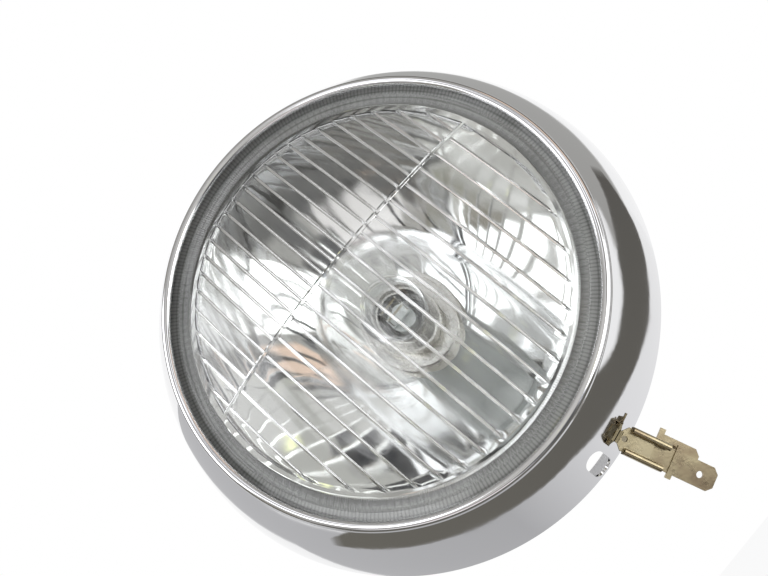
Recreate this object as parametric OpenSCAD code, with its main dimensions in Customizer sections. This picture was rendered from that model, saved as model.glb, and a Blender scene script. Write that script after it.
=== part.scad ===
// Headlight insert of a light motorcycle.
// Chromed rim, fluted glass lens, reflector with twin-filament bulb and holder, earth tab with a spade adapter.
// The front faces -Y, +Z is up, and the optical axis is Y. Units are millimetres.

/* [Rim] */
// Outside diameter of the rim at its rear edge
rim_rear_d = 143; // [140:1:150]
// Depth from the bead's plane to the rear edge
rim_depth = 24; // [22:0.5:27]
// Opening of the rim that shows the lens
rim_opening_d = 115; // [112:0.5:116]
// Sheet thickness of the rim
rim_sheet = 0.6; // [0.5:0.1:0.8]
// Outside radius of the bead round the opening
bead_r = 1.3; // [1.1:0.1:1.5]
// Radius of the curve of the skirt's section
skirt_curve_r = 64; // [50:1:90]
// Width of the hem turned in at the rear edge
hem_w = 3.5; // [3:0.1:4]

/* [Fixing slot] */
// Width of the slot at the bottom of the skirt
slot_w = 5.8; // [5:0.1:6.5]
// Depth of the slot's front end behind the bead's plane
slot_front = 12; // [9:0.5:13]
// Distance of the slot's rear end from the rear edge
slot_margin = 1.4; // [1.2:0.1:2.5]
// Angle of the slot from the bottom towards the right of the lamp
slot_angle = 2; // [0:0.5:3]

/* [Top hook] */
// Width of the tongue at the top
hook_w = 14; // [8:1:20]
// Sheet thickness of the tongue
hook_sheet = 0.8; // [0.6:0.1:1.2]
// Reach of the tongue behind the rear edge
hook_reach = 7; // [5:0.5:9]
// Height of the turned-up end of the tongue
hook_lip = 3.2; // [2.4:0.2:4]
// Reach of the tongue inward past the hem
hook_inward = 5; // [4:0.5:6]
// Distance of the tongue's welded end inside the rim's outside
hook_inset = 1.6; // [1.3:0.1:2]

/* [Lens] */
// Gap between the lens and the rim
lens_gap = 0.3; // [0.2:0.1:0.5]
// Thickness of the lens flange
lens_flange_t = 3; // [2.5:0.1:3.5]
// Wall thickness of the dome
lens_wall = 3; // [2.5:0.1:3.5]
// Width of the flange outside the knurled step
lens_ledge_w = 4.2; // [3:0.1:5.5]
// Width of the knurled step
lens_step_w = 3.6; // [2.6:0.1:5]
// Height of the knurled step above the flange
lens_step_h = 0.6; // [0.4:0.1:1]
// Height of the dome above the knurled step
lens_sag = 8; // [7:0.5:9]

/* [Flutes] */
// Height of the dividing rib above the optical axis
divider_z = 10.8; // [6:0.2:16]
// Width of the dividing rib
divider_w = 0.9; // [0.6:0.1:1.5]
// Spacing of the flutes above the rib
upper_pitch = 4.2; // [4:0.1:5]
// Spacing of the flutes below the rib
lower_pitch = 5.65; // [5.4:0.05:7]
// Depth of the flutes
flute_depth = 0.5; // [0.3:0.05:0.7]
// Width of the plain border round the flutes
flute_border_w = 2.1; // [1.5:0.1:4]

/* [Gasket] */
// Thickness of the gasket between lens and reflector
gasket_t = 1; // [0.8:0.1:1.5]
// Width of the gasket
gasket_w = 6.9; // [5.5:0.1:8]

/* [Reflector] */
// Focal length of the reflector
focal = 18; // [17:0.5:20]
// Sheet thickness of the reflector
bowl_sheet = 0.6; // [0.5:0.1:0.8]
// Reach of the reflector flange outside the lens
bowl_flange_reach = 0.1; // [0:0.1:1]
// Length of the neck turned back round the hole
neck_len = 2.2; // [1.5:0.1:3]

/* [Springs] */
// Wire diameter of the retaining springs
spring_wire = 1.4; // [1.2:0.1:1.6]
// Half width of the part that bears on the reflector
spring_foot = 5; // [4:0.5:7]
// Half width of the part that sits under the hem
spring_span = 14; // [12:0.5:17]
// Length of each end under the hem
spring_end = 4; // [3:0.5:6]
// Distance of the bearing part inside the edge of the reflector flange
spring_inset = 1.4; // [1:0.1:2]
// Distance of each end's wire behind the hem's edge
spring_tuck = 0.6; // [0.4:0.1:1.5]

/* [Bulb collar] */
// Outside diameter of the collar tube
collar_d = 27.2; // [26.8:0.2:29]
// Sheet thickness of the collar
collar_sheet = 0.6; // [0.5:0.1:0.8]
// Width of the collar flange in front of the reflector
collar_flange_w = 0.8; // [0.6:0.1:1.5]
// Length of the collar tube behind its stop
collar_len = 7; // [6:0.5:8]
// Inside diameter of the stop ring
collar_stop_d = 21.4; // [21:0.2:22]
// Diameter of the bayonet lugs
lug_d = 2.4; // [2:0.1:3]
// Reach of the lugs outside the collar tube
lug_reach = 1.4; // [1.2:0.1:2]

/* [Bulb] */
// Diameter of the glass
glass_d = 18.8; // [18:0.2:19.2]
// Wall thickness of the glass
glass_wall = 0.7; // [0.5:0.1:1]
// Distance from the flange forward to the centre of the glass dome
glass_len = 20.5; // [19:0.5:22]
// Diameter of the bulb flange
bulb_flange_d = 25.8; // [25:0.1:25.8]
// Thickness of the bulb flange
bulb_flange_t = 0.8; // [0.6:0.1:1]
// Wall thickness of the bulb cap
cap_wall = 0.7; // [0.5:0.1:0.9]
// Length of the cap in front of the flange
cap_front_len = 6.7; // [6:0.1:8]
// Diameter of the cap behind the flange
cap_rear_d = 15.4; // [15:0.1:16]
// Length of the cap behind the flange
cap_rear_len = 8.8; // [8:0.1:10]
// Distance from the flange forward to the main filament
light_centre = 17.5; // [17:0.5:18.5]
// Distance of the dip filament in front of the main filament
dip_offset = 2.5; // [2:0.25:3.5]
// Length of each filament
filament_len = 5.5; // [4.5:0.5:7]
// Height of the dip filament above the main filament
dip_rise = 2; // [1:0.25:2.5]
// Distance from the main filament back to the glass stem
stem_gap = 6; // [5:0.5:7]
// Depth of the black glass inside the end of the cap
vitrite_in = 2.2; // [1.5:0.1:3]

/* [Holder] */
// Gap between the holder and the collar
holder_gap = 0.1; // [0.05:0.05:0.2]
// Sheet thickness of the holder shell
holder_sheet = 0.7; // [0.5:0.1:0.9]
// Length of the holder shell
holder_len = 13.5; // [13:0.5:15]
// Width of the rear lip of the holder shell
holder_lip_w = 2.2; // [1.8:0.1:2.6]
// Thickness of the insulating disc
disc_t = 2.8; // [2.4:0.1:3.4]
// Width of the spade blades
blade_w = 6.3; // [4.8:0.1:6.4]
// Thickness of the spade blades
blade_t = 0.8; // [0.6:0.1:1]
// Length of the contact blades behind the holder
blade_len = 10; // [8:0.5:12]
// Radius of the latching hole of a blade
blade_hole_r = 0.9; // [0.6:0.1:1.2]
// Distance of the latching hole from a blade's tip
blade_hole_tip = 4.2; // [3:0.1:5]

/* [Earth tab and adapter] */
// Angle of the earth tab from the bottom towards the right of the lamp
tab_angle = 9; // [0:1:20]
// Lean of the adapter to the right of the lamp
adapter_lean = 15; // [5:1:20]
// Rearward tilt of the adapter
adapter_tilt = 21; // [15:1:30]
// Depth at which the tab leaves the skirt
tab_depth = 17.5; // [15:0.5:18]
// Length of the tab's blade
tab_len = 9; // [8:0.5:10]
// Sheet thickness of the adapter
adapter_sheet = 0.4; // [0.3:0.05:0.6]
// Distance of the receptacle from the tab's root
receptacle_start = 2.4; // [2:0.1:3]
// Length of the adapter's receptacle
receptacle_len = 10.2; // [9:0.1:11]
// Distance from the receptacle to the shoulder of the front blade
neck_run = 3.4; // [2.5:0.1:4.5]
// Length of the adapter's front blade
adapter_blade_len = 10.5; // [9:0.1:12]
// Gap between the adapter's two blades
adapter_blade_gap = 1.8; // [1.5:0.1:2.4]
// Sideways shift of the rear blade
rear_blade_shift = 2.4; // [0:0.1:2.6]
// Length of the adapter's rear blade
rear_blade_len = 11.6; // [9:0.1:12]
// Overlap of the rear blade with the receptacle
rear_blade_overlap = 2.8; // [2:0.1:4]

/* [Hidden] */
$fn = 96;
// Overlap that joins touching forms of one piece, and the play between pieces that slide together
join = 0.1;
play = 0.1;
rim_rear_r = rim_rear_d / 2;
lip_r = rim_opening_d / 2;
bead_mid_r = lip_r + bead_r;
bead_mid_z = bead_r - 0.3;
bead_out_r = lip_r + 2 * bead_r;
rear_z = rim_depth;
// Section of the skirt: a circular arc from the bead to the rear edge
chord_r = rim_rear_r - bead_out_r;
chord_z = rear_z - bead_mid_z;
chord = sqrt(chord_r * chord_r + chord_z * chord_z);
arc_rise = sqrt(skirt_curve_r * skirt_curve_r - chord * chord / 4);
arc_r = (rim_rear_r + bead_out_r) / 2 - arc_rise * chord_z / chord;
arc_z = (rear_z + bead_mid_z) / 2 + arc_rise * chord_r / chord;
function skirt_r(z) = arc_r + sqrt(pow(skirt_curve_r, 2) - pow(z - arc_z, 2));
function skirt_in_r(z) = arc_r + sqrt(pow(skirt_curve_r - rim_sheet, 2) - pow(z - arc_z, 2));
slot_rear = rear_z - slot_margin;

lens_front_z = bead_mid_z + 0.5;
lens_r = skirt_in_r(lens_front_z) - lens_gap;
lens_back_z = lens_front_z + lens_flange_t;
step_z = lens_front_z - lens_step_h;
step_r = lens_r - lens_ledge_w;
dome_r = step_r - lens_step_w;
dome_sphere_r = (dome_r * dome_r + lens_sag * lens_sag) / (2 * lens_sag);
dome_centre_z = step_z - lens_sag + dome_sphere_r;
inner_sphere_r = dome_sphere_r - lens_wall;
field_r = dome_r - flute_border_w;
upper_phase = 0.43;
lower_phase = 0.23;

gasket_back_z = lens_back_z + gasket_t;
flange_back_z = gasket_back_z + bowl_sheet;
bowl_r = lens_r - gasket_w;
bowl_flange_r = lens_r + bowl_flange_reach;
vertex_z = gasket_back_z + bowl_r * bowl_r / (4 * focal);
function bowl_z(r) = vertex_z - r * r / (4 * focal);
bowl_bands = 36;
collar_r = collar_d / 2;
neck_r = collar_r + 0.05;

collar_in_r = collar_r - collar_sheet;
collar_flange_r = collar_r + collar_flange_w;
collar_front_z = bowl_z(collar_flange_r) - 0.05 - collar_sheet;
stop_t = 0.8;
stop_z = bowl_z(collar_r) + 1;
seat_z = stop_z + stop_t;
collar_rear_z = seat_z + collar_len;
lug_back = 3.8;
lug_z = seat_z + lug_back;

flange_rear_z = seat_z + bulb_flange_t;
web_t = 0.5;
glass_r = glass_d / 2;
glass_mid_z = seat_z - glass_len;
glass_rear_z = seat_z - 1.5 * bulb_flange_t;
cap_front_z = seat_z - cap_front_len;
cap_r = cap_rear_d / 2;
cap_end_z = flange_rear_z + cap_rear_len;
vitrite_out = 0.8;
solder_h = 0.6;
solder_x = 3.2;
solder_r = 1.5;
contact_z = cap_end_z + vitrite_out + solder_h;
main_z = seat_z - light_centre;
dip_z = main_z - dip_offset;
stem_front_z = main_z + stem_gap;
lead_r = 0.35;
lead_bury = 4;
lead_past = 0.6;
pinch_t = 1.6;
pinch_len = 1.5;
pinch_inset = 0.3;
filament_r = 0.4;
lead_x = filament_len / 2 + lead_r;
stem_r = norm([lead_x, dip_rise]) + lead_r + 0.15;

strip_t = 0.4;
sleeve_t = 1.4;
disc_front_z = contact_z + strip_t;
disc_rear_z = disc_front_z + disc_t;
holder_in_r = collar_r + holder_gap;
holder_r = holder_in_r + holder_sheet;
holder_rear_z = disc_rear_z + holder_sheet;
holder_front_z = holder_rear_z - holder_len;
lug_play = 0.2;
slot_turn = 3.4;
blade_x = 5;
strip_w = 5;
strip_end_x = 10.3;
rivet_x = 8.4;
rivet_r = 0.9;
rivet_head_r = 1.6;
rivet_head_h = 0.5;
strip_inner_x = 1.4;
contact_chamfer = 1.2;

tab_r = skirt_r(tab_depth);
foot_w = 3.2;
roll_r = 0.85;
// Half width of the receptacle outside its side walls
receptacle_half = blade_w / 2 + 0.1 + adapter_sheet;
roll_x = receptacle_half - roll_r;
shoulder_ear = 1.2;
shoulder_len = 1.4;
blade_chamfer = 1.4;
tab_hole_r = 0.8;
tab_hole_u = 1.5;
tab_root_u = 0.2;
bridge_gap = 0.8;
foot_front = 0.6;
shoulder_u = receptacle_start + receptacle_len + neck_run;

// Local frame of the lamp: z runs backward along the axis from the bead's plane and y points down
module lamp_frame() {
    translate([0, -rim_depth, 0])
        rotate([-90, 0, 0])
            children();
}

// Ring about the axis
module ring(r_out, r_in, z0, z1) {
    translate([0, 0, z0])
        linear_extrude(height = z1 - z0)
            difference() {
                circle(r = r_out);
                circle(r = r_in);
            }
}

// Round bar between two points
module bar(p, q, r) {
    d = q - p;
    length = norm(d);
    translate(p)
        rotate([0, acos(d[2] / length), atan2(d[1], d[0])])
            cylinder(r = r, h = length, $fn = 24);
}

// Blade outline with a chamfered tip and a latching hole, running along +y
module blade_outline(width, length, chamfer) {
    half = width / 2;
    difference() {
        polygon([[-half, 0], [-half, length - chamfer], [-half + chamfer, length],
            [half - chamfer, length], [half, length - chamfer], [half, 0]]);
        translate([0, length - blade_hole_tip])
            circle(r = blade_hole_r, $fn = 32);
    }
}

// Chromed rim: lip, bead, curved skirt and hem from one pressed sheet
module rim() {
    color("Silver") lamp_frame()
        difference() {
            rotate_extrude($fn = 180) {
                intersection() {
                    translate([bead_mid_r, bead_mid_z])
                        difference() {
                            circle(r = bead_r);
                            circle(r = bead_r - rim_sheet);
                        }
                    translate([lip_r - 1, bead_mid_z - 2 * bead_r])
                        square([2 * bead_r + 2, 2 * bead_r]);
                }
                translate([lip_r, bead_mid_z])
                    square([rim_sheet, lens_front_z - bead_mid_z]);
                intersection() {
                    translate([arc_r, arc_z])
                        difference() {
                            circle(r = skirt_curve_r, $fn = 360);
                            circle(r = skirt_curve_r - rim_sheet, $fn = 360);
                        }
                    translate([lip_r, bead_mid_z])
                        square([rim_rear_r, rear_z - bead_mid_z]);
                }
                translate([rim_rear_r - hem_w, rear_z - rim_sheet])
                    square([hem_w - rim_sheet / 2, rim_sheet]);
            }
            fixing_slot();
        }
}

// Slot at the bottom of the skirt, cut straight down
module fixing_slot() {
    r = slot_w / 2;
    reach = 2 * (rim_rear_r - lip_r);
    rotate([0, 0, -slot_angle])
        translate([0, lip_r, 0])
            rotate([-90, 0, 0]) {
                translate([0, -slot_front - r, 0])
                    cylinder(r = r, h = reach);
                translate([0, -slot_rear + r, 0])
                    cylinder(r = r, h = reach);
                translate([-r, -slot_rear + r, 0])
                    cube([slot_w, slot_rear - slot_front - slot_w, reach]);
            }
}

// Tongue at the top that hooks behind the edge of the lamp shell
module top_hook() {
    front = rear_z - rim_sheet - hook_sheet;
    inner = rim_rear_r - hem_w - hook_inward;
    outer = rim_rear_r - hook_inset;
    color("LightSlateGray") lamp_frame()
        translate([-hook_w / 2, 0, 0])
            rotate([90, 0, 90])
                linear_extrude(height = hook_w)
                    polygon([[-outer, front], [-outer, front + hook_sheet],
                        [-inner - hook_sheet, front + hook_sheet],
                        [-inner - hook_sheet, rear_z + hook_reach - hook_sheet],
                        [-inner - hook_lip, rear_z + hook_reach - hook_sheet],
                        [-inner - hook_lip, rear_z + hook_reach],
                        [-inner, rear_z + hook_reach], [-inner, front]]);
}

// One flute, cut along the inside of the dome between two heights
module flute(x, pitch, z_from, z_to) {
    surface_r = sqrt(inner_sphere_r * inner_sphere_r - x * x);
    cut_r = (pitch * pitch / 4 + flute_depth * flute_depth) / (2 * flute_depth);
    from = -asin(z_to / inner_sphere_r);
    to = -asin(z_from / inner_sphere_r);
    translate([x, 0, dome_centre_z])
        rotate([0, 90, 0])
            rotate([0, 0, from])
                rotate_extrude(angle = to - from, $fn = 720)
                    translate([surface_r + flute_depth - cut_r, 0])
                        circle(r = cut_r, $fn = 48);
}

// Fields of flutes above and below the dividing rib
module flute_fields() {
    upper_n = floor((field_r - upper_pitch / 2) / upper_pitch);
    lower_n = floor((field_r - lower_pitch / 2) / lower_pitch);
    for (i = [-upper_n : upper_n - 1]) {
        flute((i + upper_phase) * upper_pitch, upper_pitch, divider_z + divider_w / 2, field_r);
    }
    for (i = [-lower_n : lower_n - 1]) {
        flute((i + lower_phase) * lower_pitch, lower_pitch, -field_r, divider_z - divider_w / 2);
    }
}

// Moulded glass lens: dome, knurled step and flange
module lens() {
    color([0.85, 0.92, 0.95, 0.4]) lamp_frame()
        difference() {
            rotate_extrude($fn = 180)
                difference() {
                    union() {
                        translate([0, lens_front_z])
                            square([lens_r, lens_flange_t]);
                        translate([0, step_z])
                            square([step_r, lens_step_h + lens_flange_t / 2]);
                        intersection() {
                            translate([0, dome_centre_z])
                                circle(r = dome_sphere_r, $fn = 720);
                            translate([0, step_z - 2 * lens_sag])
                                square([dome_r, 2 * lens_sag + 1]);
                        }
                    }
                    intersection() {
                        translate([0, dome_centre_z])
                            circle(r = inner_sphere_r, $fn = 720);
                        translate([-dome_r, step_z - 2 * lens_sag])
                            square([2 * dome_r, 4 * lens_sag]);
                    }
                    translate([-dome_r, -4 * lens_sag])
                        square([dome_r, 8 * lens_sag]);
                }
            intersection() {
                flute_fields();
                translate([0, 0, step_z - 2 * lens_sag])
                    cylinder(r = field_r, h = 4 * lens_sag);
            }
        }
}

// Rubber gasket between the lens flange and the reflector flange
module lens_gasket() {
    color("DarkGray") lamp_frame()
        ring(lens_r, bowl_r, lens_back_z, gasket_back_z);
}

// Aluminised reflector: flange, paraboloid bowl and short neck from one sheet
module reflector() {
    radii = [for (i = [0 : bowl_bands]) neck_r + (bowl_r - neck_r) * i / bowl_bands];
    front = [for (r = radii) [r, bowl_z(r)]];
    back = [for (i = [bowl_bands : -1 : 0])
        let (r = radii[i], slope = r / (2 * focal), k = bowl_sheet / sqrt(1 + slope * slope))
        [r + slope * k, bowl_z(r) + k]];
    color("Gainsboro") lamp_frame()
        rotate_extrude($fn = 180) {
            difference() {
                polygon(concat(front, back));
                translate([0, vertex_z - focal * 3])
                    square([neck_r, focal * 4]);
            }
            translate([bowl_r, gasket_back_z])
                square([bowl_flange_r - bowl_r, bowl_sheet]);
            translate([neck_r, bowl_z(neck_r) + join])
                square([bowl_sheet, neck_len]);
        }
}

// Wire spring between the reflector flange and the hem of the rim, at an angle from the bottom
module spring(angle) {
    r = spring_wire / 2;
    bend_r = r + join / 2;
    foot_z = flange_back_z + bend_r;
    end_z = rear_z - rim_sheet - bend_r;
    foot_y = bowl_flange_r - spring_inset;
    end_r = rim_rear_r - hem_w + r + spring_tuck;
    span_y = sqrt(end_r * end_r - spring_span * spring_span);
    tail_x = spring_span + spring_end;
    tail_y = sqrt(end_r * end_r - tail_x * tail_x);
    lamp_frame()
        rotate([0, 0, angle]) {
            bar([-spring_foot, foot_y, foot_z], [spring_foot, foot_y, foot_z], r);
            for (side = [-1, 1]) {
                translate([side * spring_foot, foot_y, foot_z])
                    sphere(r = bend_r, $fn = 32);
                bar([side * spring_foot, foot_y, foot_z], [side * spring_span, span_y, end_z], r);
                translate([side * spring_span, span_y, end_z])
                    sphere(r = bend_r, $fn = 32);
                bar([side * spring_span, span_y, end_z], [side * tail_x, tail_y, end_z], r);
            }
        }
}

module spring_upper_right() {
    color("SteelBlue") spring(-135);
}

module spring_lower_right() {
    color("SteelBlue") spring(-45);
}

module spring_lower_left() {
    color("SteelBlue") spring(45);
}

module spring_upper_left() {
    color("SteelBlue") spring(135);
}

// Collar swaged into the neck, with a stop ring for the bulb and two bayonet lugs
module bulb_collar() {
    color("Silver") lamp_frame() {
        ring(collar_r, collar_in_r, collar_front_z, collar_rear_z);
        ring(collar_flange_r, collar_in_r, collar_front_z, collar_front_z + collar_sheet);
        ring(collar_in_r + join, collar_stop_d / 2, stop_z, seat_z);
        for (side = [0, 180]) {
            rotate([0, 0, side])
                translate([0, collar_in_r + join, lug_z])
                    rotate([-90, 0, 0])
                        cylinder(r = lug_d / 2, h = collar_sheet + lug_reach);
        }
    }
}

// Clear glass envelope of the bulb
module bulb_glass() {
    color([0.9, 0.95, 1, 0.35]) lamp_frame()
        difference() {
            union() {
                translate([0, 0, glass_mid_z])
                    sphere(r = glass_r);
                translate([0, 0, glass_mid_z])
                    cylinder(r = glass_r, h = glass_rear_z - glass_mid_z);
            }
            translate([0, 0, glass_mid_z])
                sphere(r = glass_r - glass_wall);
            translate([0, 0, glass_mid_z])
                cylinder(r = glass_r - glass_wall, h = glass_rear_z - glass_mid_z - glass_wall);
        }
}

// Glass stem that carries the lead wires: round foot and pinched front
module bulb_stem() {
    foot_z = stem_front_z + pinch_len;
    color([0.9, 0.95, 1, 0.5]) lamp_frame()
        difference() {
            union() {
                translate([0, 0, foot_z])
                    cylinder(r = stem_r, h = glass_rear_z - glass_wall - foot_z);
                translate([-stem_r + pinch_inset, -dip_rise - pinch_t / 2, stem_front_z])
                    cube([2 * (stem_r - pinch_inset), dip_rise + pinch_t, pinch_len + 5 * join]);
            }
            leads();
        }
}

// Four lead wires along the axis, two at the ends of each filament
module leads() {
    lead_end_z = stem_front_z + lead_bury;
    for (side = [-1, 1]) {
        translate([side * lead_x, 0, main_z - lead_past])
            cylinder(r = lead_r, h = lead_end_z - main_z + lead_past, $fn = 24);
        translate([side * lead_x, -dip_rise, dip_z - lead_past])
            cylinder(r = lead_r, h = lead_end_z - dip_z + lead_past, $fn = 24);
    }
}

module lead_wires() {
    color("DarkGray") lamp_frame() leads();
}

// Envelope of one coiled filament across the axis
module filament(y, z) {
    translate([-filament_len / 2, y, z])
        rotate([0, 90, 0])
            cylinder(r = filament_r, h = filament_len, $fn = 24);
}

module main_filament() {
    color("Goldenrod") lamp_frame() filament(0, main_z);
}

module dip_filament() {
    color("Goldenrod") lamp_frame() filament(-dip_rise, dip_z);
}

// Plated cap of the bulb: front shell, prefocus flange and rear barrel
module bulb_cap() {
    color("Tan") lamp_frame()
        rotate_extrude()
            polygon([[glass_r, cap_front_z], [glass_r + cap_wall, cap_front_z],
                [glass_r + cap_wall, seat_z], [bulb_flange_d / 2, seat_z],
                [bulb_flange_d / 2, flange_rear_z], [cap_r, flange_rear_z],
                [cap_r, cap_end_z], [cap_r - cap_wall, cap_end_z],
                [cap_r - cap_wall, flange_rear_z - web_t], [glass_r, flange_rear_z - web_t]]);
}

// Black glass insulator in the end of the cap
module cap_insulator() {
    color("DimGray") lamp_frame()
        translate([0, 0, cap_end_z - vitrite_in])
            cylinder(r = cap_r - cap_wall, h = vitrite_in + vitrite_out);
}

// Two solder contacts on the insulator
module cap_contacts() {
    color("LightGray") lamp_frame()
        for (side = [-1, 1]) {
            translate([side * solder_x, 0, cap_end_z + vitrite_out])
                cylinder(r = solder_r, h = solder_h, $fn = 32);
        }
}

// Pressed shell of the bulb holder with two bayonet slots and a rear lip
module holder_shell() {
    color("DarkKhaki") lamp_frame()
        difference() {
            union() {
                ring(holder_r, holder_in_r, holder_front_z, holder_rear_z);
                ring(holder_r - join, holder_in_r - holder_lip_w, disc_rear_z, holder_rear_z);
            }
            for (side = [0, 180]) {
                rotate([0, 0, side])
                    translate([-lug_d / 2 - lug_play, holder_in_r - 1, 0]) {
                        translate([0, 0, lug_z - lug_d / 2 - lug_play])
                            cube([slot_turn + lug_d + 2 * lug_play, 3, lug_d + 2 * lug_play]);
                        translate([slot_turn, 0, holder_front_z - 1])
                            cube([lug_d + 2 * lug_play, 3, lug_z - holder_front_z + 1]);
                    }
            }
        }
}

// Moulded insulator of the holder: disc and the sleeve that presses on the bulb flange
module holder_insulator() {
    color("SaddleBrown") lamp_frame()
        difference() {
            union() {
                translate([0, 0, disc_front_z])
                    cylinder(r = holder_in_r - play, h = disc_t);
                ring(collar_in_r - 2 * play, collar_in_r - 2 * play - sleeve_t, flange_rear_z, disc_front_z + join);
            }
            for (side = [-1, 1]) {
                translate([side * (blade_x + blade_t / 2) - blade_t / 2, -blade_w / 2, disc_front_z - 1])
                    cube([blade_t, blade_w, disc_t + 2]);
                translate([side * rivet_x, 0, disc_front_z - 1])
                    cylinder(r = rivet_r, h = disc_t + 2, $fn = 32);
            }
        }
}

// Contact strip bent into a spade blade behind the disc
module contact(side) {
    lamp_frame()
        difference() {
            union() {
                translate([side > 0 ? strip_inner_x : -strip_end_x, -strip_w / 2, contact_z])
                    cube([strip_end_x - strip_inner_x, strip_w, strip_t]);
                translate([side * (blade_x + blade_t / 2) + blade_t / 2, 0, contact_z + join])
                    rotate([90, 0, -90])
                        linear_extrude(height = blade_t)
                            blade_outline(blade_w, disc_rear_z - contact_z + blade_len, contact_chamfer);
            }
            translate([side * rivet_x, 0, contact_z - 1])
                cylinder(r = rivet_r, h = strip_t + 2, $fn = 32);
        }
}

module main_contact() {
    color("Khaki") contact(1);
}

module dip_contact() {
    color("Khaki") contact(-1);
}

// Rivets that hold the two contact strips on the disc
module contact_rivets() {
    color("Peru") lamp_frame()
        for (side = [-1, 1]) {
            translate([side * rivet_x, 0, 0]) {
                translate([0, 0, contact_z - rivet_head_h])
                    cylinder(r = rivet_head_r, h = rivet_head_h, $fn = 32);
                translate([0, 0, contact_z - join])
                    cylinder(r = rivet_r, h = disc_rear_z - contact_z + 2 * join, $fn = 32);
                translate([0, 0, disc_rear_z])
                    cylinder(r = rivet_head_r, h = rivet_head_h, $fn = 32);
            }
        }
}

// Frame of the earth tab: +y runs outward along the blade and +z is its rear face
module tab_frame() {
    lamp_frame()
        rotate([0, 0, -tab_angle])
            translate([0, tab_r, tab_depth])
                rotate([0, 0, tab_angle - adapter_lean])
                    rotate([adapter_tilt, 0, 0])
                        children();
}

// Earth tab: foot welded on the skirt and blade folded outward
module earth_tab() {
    foot_len = rear_z - tab_depth - 1;
    slope = atan2(skirt_r(rear_z - 1) - tab_r, foot_len);
    bulge = pow(foot_len / cos(slope), 2) / (8 * skirt_curve_r * cos(slope)) + join / 5;
    half = blade_w / 2;
    color("DarkKhaki") {
        tab_frame()
            translate([0, 0, -blade_t])
                linear_extrude(height = blade_t)
                    difference() {
                        polygon([[-foot_w / 2, tab_root_u], [-half, foot_w / 2], [-half, tab_len - 1],
                            [-half + 1, tab_len], [half - 1, tab_len], [half, tab_len - 1],
                            [half, foot_w / 2], [foot_w / 2, tab_root_u]]);
                        translate([0, tab_hole_u])
                            circle(r = tab_hole_r, $fn = 32);
                    }
        lamp_frame()
            rotate([0, 0, -tab_angle])
                translate([0, tab_r + bulge, tab_depth])
                    rotate([-slope, 0, 0])
                        translate([-foot_w / 2, 0, -foot_front])
                            cube([foot_w, blade_t, foot_len + foot_front - 2 * join]);
    }
}

// Section of the receptacle: floor, side walls and two rolls that press on the tab
module receptacle_section() {
    translate([-receptacle_half, -adapter_sheet])
        square([2 * receptacle_half, adapter_sheet]);
    for (side = [0, 1]) {
        mirror([side, 0]) {
            translate([receptacle_half - adapter_sheet, -adapter_sheet])
                square([adapter_sheet, adapter_sheet + blade_t + roll_r]);
            translate([roll_x, blade_t + roll_r])
                difference() {
                    circle(r = roll_r, $fn = 48);
                    circle(r = roll_r - adapter_sheet, $fn = 48);
                }
        }
    }
}

// Brass adapter pushed on the tab: rolled receptacle and two male blades
module spade_adapter() {
    receptacle_end = receptacle_start + receptacle_len;
    front_z = adapter_sheet - blade_t;
    rear_front_z = adapter_sheet + adapter_blade_gap;
    bridge_u = receptacle_end + bridge_gap;
    rear_start = receptacle_end - rear_blade_overlap;
    color("Khaki") tab_frame() {
        translate([0, receptacle_start, 0])
            rotate([-90, 0, 0])
                linear_extrude(height = receptacle_len)
                    receptacle_section();
        translate([-blade_w / 2, receptacle_end - join, 0])
            cube([blade_w, neck_run, adapter_sheet]);
        translate([0, shoulder_u, front_z])
            linear_extrude(height = blade_t)
                blade_outline(blade_w, adapter_blade_len, blade_chamfer);
        translate([-blade_w / 2 - shoulder_ear, shoulder_u - shoulder_len, front_z])
            cube([blade_w + 2 * shoulder_ear, shoulder_len, blade_t]);
        translate([-blade_w / 2 + adapter_sheet, bridge_u, adapter_sheet / 2])
            cube([blade_w - 2 * adapter_sheet, adapter_sheet * 2, adapter_blade_gap + adapter_sheet]);
        translate([rear_blade_shift, rear_start, rear_front_z])
            linear_extrude(height = blade_t)
                blade_outline(blade_w, rear_blade_len, blade_chamfer);
        translate([rear_blade_shift - blade_w / 2 - shoulder_ear, rear_start, rear_front_z])
            cube([blade_w + 2 * shoulder_ear, shoulder_len, blade_t]);
    }
}

rim();
top_hook();
lens();
lens_gasket();
reflector();
spring_upper_right();
spring_lower_right();
spring_lower_left();
spring_upper_left();
bulb_collar();
bulb_glass();
bulb_stem();
lead_wires();
main_filament();
dip_filament();
bulb_cap();
cap_insulator();
cap_contacts();
holder_shell();
holder_insulator();
main_contact();
dip_contact();
contact_rivets();
earth_tab();
spade_adapter();
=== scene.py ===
"""Headlight insert: visual model over the CAD frame, with a studio and the photograph's camera."""
import math
import bpy
import numpy as np
from mathutils import Matrix


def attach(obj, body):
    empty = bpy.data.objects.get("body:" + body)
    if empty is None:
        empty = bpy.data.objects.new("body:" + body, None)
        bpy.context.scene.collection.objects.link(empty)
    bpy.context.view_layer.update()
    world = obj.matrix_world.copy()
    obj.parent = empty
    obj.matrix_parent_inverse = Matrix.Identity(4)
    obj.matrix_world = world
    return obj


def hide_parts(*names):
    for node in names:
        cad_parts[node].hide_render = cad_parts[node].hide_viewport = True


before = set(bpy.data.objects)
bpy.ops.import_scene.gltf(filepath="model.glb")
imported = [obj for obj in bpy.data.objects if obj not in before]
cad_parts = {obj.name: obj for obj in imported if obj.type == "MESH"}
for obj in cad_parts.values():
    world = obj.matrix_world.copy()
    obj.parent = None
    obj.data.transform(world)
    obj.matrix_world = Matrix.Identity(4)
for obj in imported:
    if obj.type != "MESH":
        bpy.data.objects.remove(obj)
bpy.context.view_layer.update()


# Rim
# One pressed steel sheet, chromed: lip, bead, flared skirt and a hem turned in at the rear. The lens unit
# lies in it, and a screw through the slot at the bottom fixes it to the shell.
REAR = 0.024            # depth of the rear edge behind the bead's plane; y is depth - REAR
RIM_T, HEM, CURVE_R = 0.0006, 0.0035, 0.064
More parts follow.
